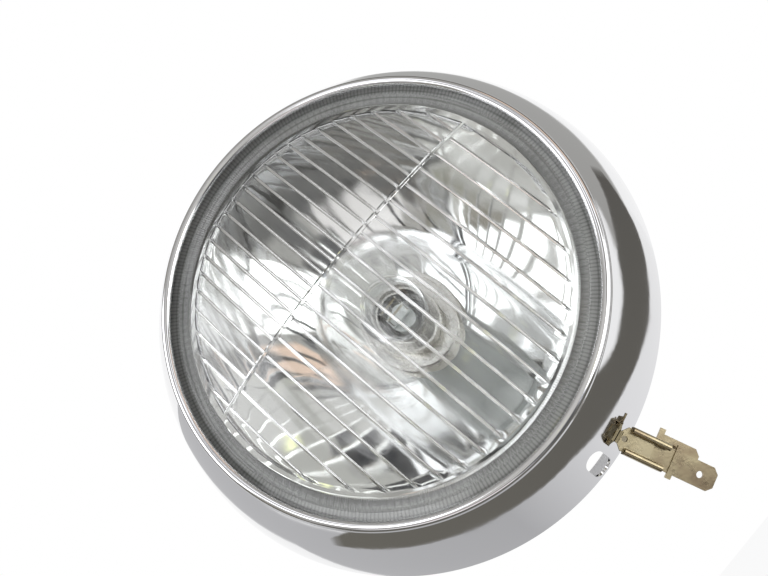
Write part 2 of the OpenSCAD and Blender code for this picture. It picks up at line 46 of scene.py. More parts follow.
LIP_R, BEAD_R, BEAD_Z, RIM_R = 0.0575, 0.0013, 0.0010, 0.0715
CHORD_R, CHORD_Z = RIM_R - LIP_R - 2 * BEAD_R, REAR - BEAD_Z
CHORD = math.hypot(CHORD_R, CHORD_Z)
SAGITTA = math.sqrt(CURVE_R ** 2 - CHORD * CHORD / 4)
ARC_R = (RIM_R + LIP_R + 2 * BEAD_R) / 2 - SAGITTA * CHORD_Z / CHORD
ARC_Z = (REAR + BEAD_Z) / 2 + SAGITTA * CHORD_R / CHORD
SLOT_HALF_W, SLOT_FRONT, SLOT_REAR, SLOT_DEG = 0.0029, 0.012, REAR - 0.0014, -88
SLOT_FLAT_R = 0.0695    # radius at which the slot's outline is laid out flat
PATCH_FRONT, PATCH_REAR, PATCH_ROWS, PATCH_COLS = 0.0114, 0.0230, 10, 10


def grain_group():
    """Node group of fractal noise: Height is the noise, and Value maps it from Low..High to From..To,
    clamped."""
    g = bpy.data.node_groups.new("grain", "ShaderNodeTree")
    g.interface.new_socket("Vector", in_out="INPUT", socket_type="NodeSocketVector")
    for label in ("Scale", "Detail", "Harshness", "Low", "High", "From", "To"):
        g.interface.new_socket(label, in_out="INPUT", socket_type="NodeSocketFloat")
    for label in ("Height", "Value"):
        g.interface.new_socket(label, in_out="OUTPUT", socket_type="NodeSocketFloat")
    given, result = g.nodes.new("NodeGroupInput"), g.nodes.new("NodeGroupOutput")
    tex, reach = g.nodes.new("ShaderNodeTexNoise"), g.nodes.new("ShaderNodeMapRange")
    for label, socket in (("Vector", "Vector"), ("Scale", "Scale"), ("Detail", "Detail"),
                          ("Harshness", "Roughness")):
        g.links.new(given.outputs[label], tex.inputs[socket])
    for label, socket in (("Low", "From Min"), ("High", "From Max"), ("From", "To Min"), ("To", "To Max")):
        g.links.new(given.outputs[label], reach.inputs[socket])
    g.links.new(tex.outputs["Fac"], reach.inputs["Value"])
    g.links.new(tex.outputs["Fac"], result.inputs["Height"])
    g.links.new(reach.outputs["Result"], result.inputs["Value"])
    return g


grain_tree = grain_group()


def grain(nt, scale, detail, low=0.35, high=0.7, start=0.0, end=1.0, harshness=0.5):
    """Places the grain group in a material, on Object coordinates. Returns its node."""
    node = nt.nodes.new("ShaderNodeGroup")
    node.node_tree = grain_tree
    for label, value in (("Scale", scale), ("Detail", detail), ("Harshness", harshness),
                         ("Low", low), ("High", high), ("From", start), ("To", end)):
        node.inputs[label].default_value = value
    coord = nt.nodes.get("Texture Coordinate") or nt.nodes.new("ShaderNodeTexCoord")
    nt.links.new(coord.outputs["Object"], node.inputs["Vector"])
    return node


def material(name, base, rough, metallic=0.0):
    """A Principled material. Returns the material, its node tree and the shader."""
    m = bpy.data.materials.new(name)
    m.use_nodes = True
    bs = m.node_tree.nodes["Principled BSDF"]
    bs.inputs["Base Color"].default_value = (*base, 1)
    bs.inputs["Roughness"].default_value = rough
    bs.inputs["Metallic"].default_value = metallic
    return m, m.node_tree, bs


def ripple(nt, bs, scale, detail, strength, distance=0.001):
    """Tilts the shader's normal by a bump of fractal noise."""
    bump = nt.nodes.new("ShaderNodeBump")
    bump.inputs["Strength"].default_value = strength
    bump.inputs["Distance"].default_value = distance
    nt.links.new(grain(nt, scale, detail).outputs["Height"], bump.inputs["Height"])
    nt.links.new(bump.outputs["Normal"], bs.inputs["Normal"])


def mesh_piece(name, verts, faces, mat, sharp=40):
    """A smooth piece from vertices in metres and faces, with sharp edges where faces turn by more than
    sharp degrees."""
    me = bpy.data.meshes.new(name)
    me.from_pydata(np.asarray(verts, float).tolist(), [], faces)
    me.validate()
    me.update()
    me.shade_smooth()
    me.set_sharp_from_angle(angle=math.radians(sharp))
    o = bpy.data.objects.new(name, me)
    bpy.context.scene.collection.objects.link(o)
    me.materials.append(mat)
    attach(o, "root")
    return o


def lathe(profile, n, closed=True):
    """Turns a profile of (radius r, depth) about the optical axis: x = r cos t, z = r sin t, y = depth -
    REAR. The section runs counter-clockwise when radius points right and depth points up, so that the
    faces look outward. Rows of radius 0 close to a pole. Returns vertices and a list of faces."""
    r, depth = np.asarray(profile, float).T
    m = len(r)
    t = np.linspace(0, 2 * math.pi, n, endpoint=False)
    v = np.stack([np.outer(np.cos(t), r), np.tile(depth - REAR, (n, 1)), np.outer(np.sin(t), r)], 2)
    v = v.reshape(-1, 3)
    j, i = [a.ravel() for a in np.meshgrid(np.arange(n), np.arange(m if closed else m - 1), indexing="ij")]
    k, h = (j + 1) % n, (i + 1) % m
    head, tail = r[i] < 1e-9, r[h] < 1e-9
    quads = np.stack([j * m + i, j * m + h, k * m + h, k * m + i], 1)[~head & ~tail]
    from_pole = np.stack([i, j * m + h, k * m + h], 1)[head & ~tail]
    to_pole = np.stack([j * m + i, h, k * m + i], 1)[tail & ~head]
    return v, quads.tolist() + from_pole.tolist() + to_pole.tolist()


def arc(cx, cy, r, a0, a1, n):
    """Points of a circular arc between two angles in degrees."""
    t = np.radians(np.linspace(a0, a1, n))
    return np.stack([cx + r * np.cos(t), cy + r * np.sin(t)], 1)


def skirt(z, inside=0.0):
    """Radius at depth z of the skirt's outer face, or of a face a thickness inside it: the arc's centre
    radius plus the root of (arc radius - inside) squared less (z - the centre's depth) squared."""
    return ARC_R + np.sqrt((CURVE_R - inside) ** 2 - (np.asarray(z) - ARC_Z) ** 2)


def slot_outline(ray, half_l):
    """Where rays (across, along) from the slot's centre leave its outline: half width over the across
    share on the straight sides, else the far root of the end's circle, whose centre lies half_l along."""
    ray = ray / np.hypot(*ray.T)[:, None]
    across, along = np.abs(ray).T
    b = along * half_l
    to_end = b + np.sqrt(b * b - half_l ** 2 + SLOT_HALF_W ** 2)
    to_side = SLOT_HALF_W / np.maximum(across, 1e-9)
    return ray * np.where(along * to_side <= half_l, to_side, to_end)[:, None]


def rim_mesh():
    """Outer and inner skins of the rim on one closed section, swept round the axis. A patch of the skirt
    round the slot is left out on both, and filled by rings that run in equal steps from the patch's
    border to the slot's outline, with a wall between the two skins."""
    z_out = np.concatenate([np.linspace(BEAD_Z + 0.0002, 0.0108, 12),
                            np.linspace(PATCH_FRONT, PATCH_REAR, PATCH_ROWS + 1), [0.0236]])
    z_in = np.concatenate([np.linspace(PATCH_REAR, PATCH_FRONT, PATCH_ROWS + 1),
                           np.linspace(0.0108, 0.0024, 9)])
    mid = LIP_R + BEAD_R
    front = np.concatenate([
        [[LIP_R + RIM_T, 0.00148], [LIP_R + 0.0003, 0.0015], [LIP_R, 0.0013]],
        arc(mid, BEAD_Z, BEAD_R, 180, 350, 22)])
    outer = np.stack([skirt(z_out), z_out], 1)
    rear = np.array([[RIM_R - 0.0002, REAR - 0.00005], [RIM_R - 0.0006, REAR],
                     [RIM_R - HEM + 0.0002, REAR], [RIM_R - HEM, REAR - 0.0002],
                     [RIM_R - HEM, REAR - RIM_T + 0.0001], [RIM_R - HEM + 0.0001, REAR - RIM_T],
                     [RIM_R - 0.0013, REAR - RIM_T]])
    inner = np.stack([skirt(z_in, RIM_T), z_in], 1)
    back = arc(mid, BEAD_Z, BEAD_R - RIM_T, 360, 180, 14)
    section = np.concatenate([front, outer, rear, inner, back])
    verts, quads = lathe(section, 360)
    quads, m = np.array(quads), len(section)
    first_out, first_in = len(front) + 12, len(front) + len(outer) + len(rear)
    first_col = 360 + SLOT_DEG - PATCH_COLS // 2
    rows, cols = np.arange(PATCH_ROWS), np.arange(PATCH_COLS)
    col, row = np.divmod(np.arange(len(quads)), m)
    patch_rows = np.concatenate([first_out + rows, first_in + rows])
    in_patch = np.isin(col, first_col + cols) & np.isin(row, patch_rows)
    faces = [quads[~in_patch]]
    turn, middle = math.radians(SLOT_DEG), (SLOT_FRONT + SLOT_REAR) / 2
    border_col = first_col + np.concatenate([cols, 0 * rows + PATCH_COLS, PATCH_COLS - cols, 0 * rows])
    border_row = np.concatenate([0 * cols, rows, 0 * cols + PATCH_ROWS, PATCH_ROWS - rows])
    share = np.arange(1, 6)[:, None, None] / 5
    edges = []
    for first, inside in ((first_out, 0.0), (first_in, RIM_T)):
        border = border_col * m + first + border_row
        x, y, z = verts[border].T
        start = np.stack([(np.arctan2(z, x) - turn) * SLOT_FLAT_R, y + REAR - middle], 1)
        goal = slot_outline(start, (SLOT_REAR - SLOT_FRONT) / 2 - SLOT_HALF_W)
        flat = start + (goal - start) * share
        t, depth = turn + flat[..., 0] / SLOT_FLAT_R, flat[..., 1] + middle
        r = skirt(depth, inside)
        rings = np.concatenate([[border], len(verts) + np.arange(r.size).reshape(r.shape)])
        after = np.roll(rings, -1, 1)
        faces.append(np.stack([after[:-1], rings[:-1], rings[1:], after[1:]], 2).reshape(-1, 4))
        filling = np.stack([r * np.cos(t), depth - REAR, r * np.sin(t)], 2)
        verts = np.concatenate([verts, filling.reshape(-1, 3)])
        edges.append(rings[-1])
    outside, within = edges
    within = within[(2 * PATCH_COLS + PATCH_ROWS - np.arange(len(within))) % len(within)]
    faces.append(np.stack([outside, np.roll(outside, -1), np.roll(within, -1), within], 1))
    return verts, np.concatenate(faces).tolist()


def true_normals(me):
    """Gives every corner on the skirt's two skins the exact normal of its arc of revolution, radius =
    skirt(depth), so that the chrome reflects without ripples round the slot."""
    co, at = np.empty(len(me.vertices) * 3), np.empty(len(me.loops), int)
    nrm = np.empty(len(me.loops) * 3)
    me.vertices.foreach_get("co", co)
    me.loops.foreach_get("vertex_index", at)
    me.corner_normals.foreach_get("vector", nrm)
    q, nrm = co.reshape(-1, 3)[at], nrm.reshape(-1, 3)
    r, z = np.hypot(q[:, 0], q[:, 2]), q[:, 1] + REAR
    for inside, way in ((0.0, 1), (RIM_T, -1)):
        slope = (ARC_Z - z) / np.sqrt((CURVE_R - inside) ** 2 - (z - ARC_Z) ** 2)
        exact = np.stack([q[:, 0] / r, -slope, q[:, 2] / r], 1) * way
        exact /= np.linalg.norm(exact, axis=1)[:, None]
        on = (np.abs(r - skirt(z, inside)) < 2e-6) & ((nrm * exact).sum(1) > 0.9)
        nrm[on] = exact[on]
    me.normals_split_custom_set(nrm.tolist())


chrome, nt, bs = material("rim_chrome", (0.83, 0.83, 0.84), 0.06, 1.0)
nt.links.new(grain(nt, 60, 6, 0.35, 0.75, 0.035, 0.11).outputs["Value"], bs.inputs["Roughness"])
ripple(nt, bs, 90, 3, 0.05)
rim = mesh_piece("rim_sheet", *rim_mesh(), chrome, sharp=50)
true_normals(rim.data)
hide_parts("rim")


# Top hook
# A zinc-plated steel tongue, spot-welded under the hem. It catches behind the edge of the lamp shell, so
# that the insert hangs from it while the screw is put in.
def finish(name, light, dark, rough, metallic=1.0, scale=60, bump=0.1):
    """A material whose colour wanders from light to dark and whose roughness runs over a range, by
    fractal noise, with a finer bump. Returns it."""
    m, nt, bs = material(name, light, rough[0], metallic)
    mix = nt.nodes.new("ShaderNodeMix")
    mix.data_type = "RGBA"
    mix.inputs["A"].default_value = (*light, 1)
    mix.inputs["B"].default_value = (*dark, 1)
    nt.links.new(grain(nt, scale, 5, harshness=0.55).outputs["Value"], mix.inputs["Factor"])
    nt.links.new(mix.outputs["Result"], bs.inputs["Base Color"])
    nt.links.new(grain(nt, scale * 2.3, 5, 0.35, 0.7, *rough).outputs["Value"], bs.inputs["Roughness"])
    ripple(nt, bs, scale * 9, 3, bump, 0.0005)
    return m


def dress(node, mat, bevel=0.0):
    """Gives a CAD node its material and, if asked, a small rounding of its edges."""
    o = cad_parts[node]
    o.data.materials.clear()
    o.data.materials.append(mat)
    if bevel:
        mod = o.modifiers.new("edge", "BEVEL")
        mod.width = bevel
        mod.segments = 2
        mod.limit_method = "ANGLE"
        mod.angle_limit = math.radians(40)


zinc = finish("zinc_steel", (0.62, 0.63, 0.64), (0.45, 0.46, 0.48), (0.28, 0.5), scale=90)
dress("top_hook", zinc, 0.00015)


# Lens
# Moulded clear glass. Its outside is a smooth dome in a knurled step; the inside carries two fields of
# upright flutes parted by one rib. The flange is held between the rim's lip and the rubber gasket.
LENS_Z, LENS_T, STEP_Z, SAG, WALL = 0.0015, 0.0030, 0.0009, 0.0080, 0.0030
AIR = 0.00012           # between flange and gasket, so that the rubber is seen through air
GLASS_R = float(skirt(LENS_Z, RIM_T)) - 0.0003
STEP_R = GLASS_R - 0.0042
DOME_R = STEP_R - 0.0036
BORDER = 0.0012         # plain border of the fluted field, over which the flutes fade out
FIELD_R = DOME_R - BORDER
SPHERE = (DOME_R ** 2 + SAG ** 2) / (2 * SAG)
CENTRE_Z = STEP_Z - SAG + SPHERE
RIB_Z, RIB_W, RIB_H = 0.0108, 0.0009, 0.0002
FLUTE_STEP, FLUTE_STEP_W, FLUTE_BOW = 0.00040, 0.00045, 0.00010
UPPER_PITCH, UPPER_PHASE, LOWER_PITCH, LOWER_PHASE = 0.0042, 0.43, 0.00565, 0.23
KNURLS, KNURL_H, KNURL_COLS, DOME_COLS, BACK_COLS = 540, 0.00008, 3240, 270, 540
FRONT, BACK = (0, -1, 0), (0, 1, 0)


def joined(parts):
    """Vertices and faces of several (vertices, faces, outward direction) parts in one list. A part whose
    faces look against its direction, on average, is turned round. No direction means away from the
    optical axis."""
    verts, faces, count = [], [], 0
    for v, f, way in parts:
        out = v[f[:, :3]].mean(1) * [1, 0, 1] if way is None else way
        nrm = np.cross(v[f[:, 1]] - v[f[:, 0]], v[f[:, 2]] - v[f[:, 0]])
        if (nrm * out).sum() < 0:
            f = f[:, ::-1]
        verts.append(v)
        faces += (f + count).tolist()
        count += len(v)
    return np.concatenate(verts), faces


def grid_faces(rows, cols, closed=False):
    """Quads of a grid of rows x cols vertices, row by row, closed across the columns if asked."""
    r, c = np.arange(rows - 1)[:, None] * cols, np.arange(cols if closed else cols - 1)
    d = (c + 1) % cols
    return np.stack([r + c, r + d, r + cols + d, r + cols + c], 2).reshape(-1, 4)


def inner_depth(x, z):
    """Depth of the lens's inner sphere: its centre's depth less the root of radius squared - x squared -
    z squared."""
    return CENTRE_Z - np.sqrt((SPHERE - WALL) ** 2 - x * x - z * z)


def flute_grid(pitch, phase, low, high, rows):
    """One field of flutes on the inner sphere: rows from low(x) to high(x), columns across, close
    together at the ridges. A point's depth is the sphere's, less a groove: a steep smooth step beside
    each ridge, then a shallow parabola to the middle of the flute. The groove fades out at the field's
    border."""
    reach, half = int(FIELD_R / pitch) + 2, pitch / 2
    near = np.array([half - FLUTE_STEP_W, half - 0.00028, half - 0.00014])
    across = np.concatenate([[-half], -near[::-1], np.linspace(-near[0], near[0], 7)[1:-1], near])
    x = ((np.arange(-reach, reach)[:, None] + phase) * pitch + across).ravel()
    d = np.tile(across, 2 * reach)
    d, x = d[high(x) - low(x) > 1e-5], x[high(x) - low(x) > 1e-5]
    t = np.concatenate([[0, 0.004], np.linspace(0.03, 0.97, rows), [0.996, 1]])
    z = low(x) + (high(x) - low(x)) * t[:, None]
    k = np.minimum(1, (half - np.abs(d)) / FLUTE_STEP_W)
    groove = FLUTE_STEP * k * k * (3 - 2 * k) + FLUTE_BOW * (1 - (d / half) ** 2)
    fade = np.clip((FIELD_R - np.hypot(x, z)) / BORDER, 0, 1)
    fade[[0, -1]] = 0
    y = inner_depth(x, z) - groove * fade - REAR
    return np.stack([x + 0 * z, y, z], 2).reshape(-1, 3), grid_faces(len(t), len(x))


def ring_rows(profile, n, lift=0.0):
    """An open profile of (radius r, depth) turned about the axis, row by row: x = r cos t, z = r sin t, y
    = depth + lift - REAR, where lift may change by row and angle."""
    t = np.linspace(0, 2 * math.pi, n, endpoint=False)
    r, depth = np.array(profile, float).T[..., None]
    v = np.stack(np.broadcast_arrays(r * np.cos(t), depth + lift - REAR + 0 * t, r * np.sin(t)), 2)
    return v.reshape(-1, 3), grid_faces(len(r), n, closed=True)


def lens_mesh():
    """Outside: a dome in rings, the step with radial knurls of depth height (1 - cos(count t)), and the
    flange. Inside: the flange's back, the inner sphere's border, and the two fields of flutes with the
    rib between."""
    r = np.linspace(0.0004, DOME_R, 34)
    dome = np.stack([r, CENTRE_Z - np.sqrt(SPHERE ** 2 - r ** 2)], 1)
    parts = [(*ring_rows(dome, DOME_COLS), FRONT)]
    j = np.arange(DOME_COLS)
    pole = np.concatenate([[[0, CENTRE_Z - SPHERE - REAR, 0]], ring_rows(dome[:1], DOME_COLS)[0]])
    parts.append((pole, np.stack([0 * j, j + 1, (j + 1) % DOME_COLS + 1], 1), FRONT))
    ledge = np.array([(0, 0), (0.0002, 0.0001), (0.0004, 0.0001), (0.0006, 0), (0.0015, 0), (0.0026, 0),
                      (0.0031, 0), (0.0033, 0.0001), (0.0035, 0.0002)]) + [DOME_R, STEP_Z]
    t = np.linspace(0, 2 * math.pi, KNURL_COLS, endpoint=False)
    knurl = np.outer([0, 0, 0, 1, 1, 1, 1, 0, 0], KNURL_H * (1 - np.cos(KNURLS * t)))
    parts.append((*ring_rows(ledge, KNURL_COLS, knurl), FRONT))
    rear = LENS_Z + LENS_T - AIR
    flange = [(STEP_R - 0.0001, STEP_Z + 0.0002), (STEP_R, STEP_Z + 0.0003), (STEP_R, LENS_Z - 0.0002),
              (STEP_R + 0.0002, LENS_Z), (GLASS_R - 0.0003, LENS_Z), (GLASS_R, LENS_Z + 0.0003)]
    parts.append((*ring_rows(flange, DOME_COLS), FRONT))
    parts.append((*ring_rows([(GLASS_R, LENS_Z + 0.0003), (GLASS_R, rear - 0.0003)], DOME_COLS), None))
    r = np.linspace(math.sqrt((SPHERE - WALL) ** 2 - (CENTRE_Z - rear) ** 2), FIELD_R, 8)
    border = np.concatenate([[(GLASS_R, rear - 0.0003), (GLASS_R - 0.0003, rear)],
                             np.stack([r, inner_depth(r, 0)], 1)])
    parts.append((*ring_rows(border, BACK_COLS), BACK))

    def half(x):
        return np.sqrt(np.maximum(FIELD_R ** 2 - x * x, 0))

    parts.append((*flute_grid(UPPER_PITCH, UPPER_PHASE, lambda x: RIB_Z + RIB_W / 2 + 0 * x, half, 22), BACK))
    parts.append((*flute_grid(LOWER_PITCH, LOWER_PHASE, lambda x: -half(x),
                              lambda x: np.minimum(half(x), RIB_Z - RIB_W / 2), 30), BACK))
    x = np.linspace(-half(RIB_Z) + 1e-5, half(RIB_Z) - 1e-5, 90)
    share, bulge = np.array([(-0.5, 0), (-0.35, 1), (0.35, 1), (0.5, 0)]).T[..., None]
    z = RIB_Z + share * RIB_W + 0 * x
    rib = np.stack([x + 0 * z, inner_depth(x, z) + RIB_H * bulge - REAR, z], 2).reshape(-1, 3)
    parts.append((rib, grid_faces(4, len(x)), BACK))
    return joined(parts)


glass, nt, bs = material("clear_lens_glass", (0.97, 0.985, 0.98), 0.0)
bs.inputs["Transmission Weight"].default_value = 1.0
bs.inputs["IOR"].default_value = 1.5
nt.links.new(grain(nt, 45, 5, 0.55, 0.85, 0.0, 0.05).outputs["Value"], bs.inputs["Roughness"])
ripple(nt, bs, 120, 2, 0.01)
lens = mesh_piece("lens_glass", *lens_mesh(), glass, sharp=25)
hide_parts("lens")
lens.visible_shadow = False


# Reflector
# Spun sheet bowl, lacquered and aluminised inside, duller behind. Its flange lies behind the gasket and
# the neck holds the collar.
FOCAL, BOWL_T, NECK_R = 0.018, 0.0006, 0.01365
BOWL_R, FLANGE_R = GLASS_R - 0.0069, GLASS_R + 0.0001
GASKET_Z = LENS_Z + LENS_T + 0.0010
VERTEX_Z = GASKET_Z + BOWL_R ** 2 / (4 * FOCAL)
BOWL_ROWS, BOWL_COLS = 60, 240


def bowl_profile():
    """Section of the reflector, running so that the faces look outward: the flange's front and edge, the
    back of the bowl, the neck, then the paraboloid depth = vertex - r^2 / 4f. Returns it with the number
    of rows of flange and bowl that face forward."""
    r = np.linspace(BOWL_R, NECK_R, BOWL_ROWS)
    z = VERTEX_Z - r * r / (4 * FOCAL)
    slope = r / (2 * FOCAL)
    k = BOWL_T / np.sqrt(1 + slope ** 2)
    behind = np.stack([r + slope * k, z + k], 1)
    behind = behind[(behind[:, 1] > GASKET_Z + BOWL_T + 0.0001) & (behind[:, 0] > NECK_R + BOWL_T)]
    neck = [[NECK_R + BOWL_T, z[-1] + 0.0008], [NECK_R + BOWL_T, z[-1] + 0.0023], [NECK_R, z[-1] + 0.0023]]
    flange = [[FLANGE_R - 0.0002, GASKET_Z], [FLANGE_R, GASKET_Z + 0.0002], [FLANGE_R, GASKET_Z + 0.0004],
              [FLANGE_R - 0.0001, GASKET_Z + BOWL_T]]
    return np.concatenate([flange, behind, neck, np.stack([r, z], 1)[::-1]]), len(flange)


mirror, nt, bs = material("aluminised_mirror", (0.9, 0.9, 0.895), 0.04, 1.0)
back_side, dull = nt.nodes.new("ShaderNodeAttribute"), nt.nodes.new("ShaderNodeMix")
back_side.attribute_name = "behind"
nt.links.new(back_side.outputs["Fac"], dull.inputs["Factor"])
nt.links.new(grain(nt, 30, 5, 0.4, 0.8, 0.03, 0.10).outputs["Value"], dull.inputs["A"])
nt.links.new(grain(nt, 40, 6, 0.35, 0.7, 0.30, 0.45).outputs["Value"], dull.inputs["B"])
nt.links.new(dull.outputs["Result"], bs.inputs["Roughness"])
ripple(nt, bs, 70, 2, 0.02)
section, flange_rows = bowl_profile()
bowl = mesh_piece("reflector_bowl", *lathe(section, BOWL_COLS), mirror)
at_back = np.zeros(len(section))
at_back[flange_rows:-BOWL_ROWS] = 1
bowl.data.attributes.new("behind", "FLOAT", "POINT").data.foreach_set("value", np.tile(at_back, BOWL_COLS))
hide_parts("reflector")


# Lens gasket
# A flat ring of pale grey rubber between the lens and the reflector's flange, seen through the lens
# border. Fine ticks and rings of painted shade on it stand for the knurls and flange edges seen through
# glass.
RING_IN, RING_OUT, PAINTED_TICKS = 0.0520, 0.0595, 360
# Painted shade in rings: the rubber's colour is darkened by radius into lines of shade seen through the glass
PAINTED_RING_SHADE = ((0.0, 0.30), (0.12, 0.55), (0.34, 0.95), (0.40, 0.45), (0.45, 1.0), (0.60, 0.95), (0.66, 0.5),
               (0.72, 1.0), (1.0, 0.7))      # place between the two radii, and shade there


def span(nt, value, low, high, start, end):
    """Maps value from low..high to start..end, clamped."""
    n = nt.nodes.new("ShaderNodeMapRange")
    for label, number in (("From Min", low), ("From Max", high), ("To Min", start), ("To Max", end)):
        n.inputs[label].default_value = number
    nt.links.new(value, n.inputs["Value"])
    return n.outputs["Result"]


def darkened(nt, base, by, amount=None):
    """Multiplies a base colour by another, or by a plain dark grey as far as the amount says."""
    n = nt.nodes.new("ShaderNodeMix")
    n.data_type = "RGBA"
    n.blend_type = "MULTIPLY"
    n.inputs["Factor"].default_value = 1
    n.inputs["B"].default_value = (0.25, 0.25, 0.25, 1)
    nt.links.new(base, n.inputs["A"])
    if by:
        nt.links.new(by, n.inputs["B"])
    if amount:
        nt.links.new(amount, n.inputs["Factor"])
    return n.outputs["Result"]


def math_node(nt, operation, *sources, number=None):
    """A Math node on one or two sources, or on a source and a number."""
    n = nt.nodes.new("ShaderNodeMath")
    n.operation = operation
    for source, socket in zip(sources, n.inputs):
        nt.links.new(source, socket)
    if number is not None:
        n.inputs[1].default_value = number
    return n.outputs[0]


rubber = finish("grey_rubber", (0.42, 0.42, 0.41), (0.33, 0.33, 0.325), (0.6, 0.8), 0.0, 80, 0.2)
nt = rubber.node_tree
nn, ll, bs = nt.nodes, nt.links, nt.nodes["Principled BSDF"]
place = nn["Texture Coordinate"].outputs["Object"]
flat, radius = nn.new("ShaderNodeVectorMath"), nn.new("ShaderNodeVectorMath")
flat.operation, radius.operation = "MULTIPLY", "LENGTH"
flat.inputs[1].default_value = (1, 0, 1)
ll.new(place, flat.inputs[0])
ll.new(flat.outputs["Vector"], radius.inputs[0])
ramp = nn.new("ShaderNodeValToRGB")
ll.new(span(nt, radius.outputs["Value"], RING_IN, RING_OUT, 0, 1), ramp.inputs["Fac"])
while len(ramp.color_ramp.elements) < len(PAINTED_RING_SHADE):
    ramp.color_ramp.elements.new(0.5)
for mark, (where, shade) in zip(ramp.color_ramp.elements, PAINTED_RING_SHADE):
    mark.position = where
    mark.color = (shade, shade, shade, 1)
# Painted shade in fine radial ticks, one per degree, standing for the step's knurls seen through the glass
axes = nn.new("ShaderNodeSeparateXYZ")
ll.new(place, axes.inputs[0])
angle = math_node(nt, "ARCTAN2", axes.outputs["Z"], axes.outputs["X"])
tick_shade_wave = math_node(nt, "SINE", math_node(nt, "MULTIPLY", angle, number=PAINTED_TICKS))
grained = bs.inputs["Base Color"].links[0].from_socket
tick_shaded = darkened(nt, grained, None, span(nt, tick_shade_wave, -0.2, 0.9, 0.0, 0.45))
ll.new(darkened(nt, tick_shaded, ramp.outputs["Color"]), bs.inputs["Base Color"])
dress("lens_gasket", rubber)


# Retaining springs
# Four bent wires of spring steel. The middle of each bears on the reflector's flange and its ends spread
# under the hem, so that the lens unit is pressed against the lip.
WIRE_R, FOOT_X, FOOT_Z, END_Z = 0.0007, 0.005, 0.00685, 0.02265
FOOT_Y, END_R, SPAN_X, TAIL_X = FLANGE_R - 0.0014, RIM_R - HEM + 0.0007 + 0.0006, 0.014, 0.018
BEND_R = 0.002


def rounded(path, radius, steps=6):
    """A path whose inner corners become curves between tangent points: (1 - t)^2 first + 2 t (1 - t)
    corner + t^2 last, with the tangent length of an arc of the radius."""
    p = [np.array(q, float) for q in path]
    t = np.linspace(0, 1, steps + 1)[:, None]
    out = [p[:1]]
    for a, b, c in zip(p, p[1:], p[2:]):
        u, w = (a - b) / np.linalg.norm(a - b), (c - b) / np.linalg.norm(c - b)
        turn = math.acos(float(np.clip(-u @ w, -1, 1)))
        cut = min(radius * math.tan(turn / 2), np.linalg.norm(a - b) * 0.45, np.linalg.norm(c - b) * 0.45)
        out.append((1 - t) ** 2 * (b + u * cut) + 2 * t * (1 - t) * b + t * t * (b + w * cut))
    return np.concatenate([*out, p[-1:]])


def swept(path, r, sides=12):
    """A round wire along a path: centre + r (cos a * across + sin a * side). Each ring stands square to
    the path, carried on from the ring before it without twist, and each end closes on a point r / 3
    beyond it."""
    p = np.asarray(path, float)
    tan = np.gradient(p, axis=0)
    tan /= np.linalg.norm(tan, axis=1)[:, None]
    across = [np.cross(tan[0], [0.3, 0.5, 0.8])]
    for t in tan:
        ref = across[-1] - t * (across[-1] @ t)
        across.append(ref / np.linalg.norm(ref))
    across = np.array(across[1:])
    side = np.cross(tan, across)[:, None]
    a = np.linspace(0, 2 * math.pi, sides, endpoint=False)[:, None]
    rings = p[:, None] + r * (np.cos(a) * across[:, None] + np.sin(a) * side)
    v = np.concatenate([rings.reshape(-1, 3), [p[0] - tan[0] * r / 3, p[-1] + tan[-1] * r / 3]])
    j, last = np.arange(sides), (len(p) - 1) * sides
    k = (j + 1) % sides
    start = np.stack([0 * j + last + sides, k, j], 1)
    end = np.stack([0 * j + last + sides + 1, last + j, last + k], 1)
    return v, grid_faces(len(p), sides, closed=True).tolist() + start.tolist() + end.tolist()


spring_steel = finish("spring_steel", (0.50, 0.51, 0.53), (0.36, 0.37, 0.39), (0.25, 0.42), scale=120)
span_y, tail_y = math.sqrt(END_R ** 2 - SPAN_X ** 2), math.sqrt(END_R ** 2 - TAIL_X ** 2)
half = np.array([(FOOT_X, FOOT_Y, FOOT_Z), (SPAN_X, span_y, END_Z), (TAIL_X, tail_y, END_Z)])
x, y, z = rounded(np.concatenate([half[::-1] * [-1, 1, 1], half]), BEND_R).T
for node, degrees in (("spring_upper_right", -135), ("spring_lower_right", -45),
                      ("spring_lower_left", 45), ("spring_upper_left", 135)):
    c, s = math.cos(math.radians(degrees)), math.sin(math.radians(degrees))
    turned = np.stack([c * x - s * y, z - REAR, -(s * x + c * y)], 1)
    wire = mesh_piece(node + "_wire", *swept(turned, WIRE_R), spring_steel, sharp=60)
    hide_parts(node)


# Bulb collar
# Plated steel tube swaged into the reflector's neck. It has the stop ring for the bulb's flange and two
# bayonet lugs for the holder, and shows as the bright ring round the bulb.
plated = finish("plated_collar", (0.72, 0.71, 0.69), (0.55, 0.53, 0.50), (0.14, 0.32), scale=110)
dress("bulb_collar", plated, 0.0001)


# Bulb glass
# Clear blown envelope with a round dome, cemented in the flanged cap. It has an outer and an inner skin,
# and its base is closed inside the cap.
SEAT_Z = VERTEX_Z - 0.0136 ** 2 / (4 * FOCAL) + 0.0018
ENVELOPE_R, ENVELOPE_T = 0.0094, 0.0007
DOME_Z, BASE_Z = SEAT_Z - 0.0205, SEAT_Z - 0.0012


def envelope_profile():
    """Outer skin from the dome's pole back to the base, and the inner skin forward again: quarter circles
    about the dome's centre, and straight walls."""
    inner_r = ENVELOPE_R - ENVELOPE_T
    out = arc(0, DOME_Z, ENVELOPE_R, -90, 0, 20)
    inn = arc(0, DOME_Z, inner_r, 0, -90, 20)
    out[0, 0] = inn[-1, 0] = 0
    base = [[ENVELOPE_R, BASE_Z - 0.0002], [ENVELOPE_R - 0.0002, BASE_Z], [0.0005, BASE_Z], [0, BASE_Z],
            [0, BASE_Z - ENVELOPE_T], [inner_r - 0.0004, BASE_Z - ENVELOPE_T],
            [inner_r, BASE_Z - ENVELOPE_T - 0.0004]]
    return np.concatenate([out, base, inn])


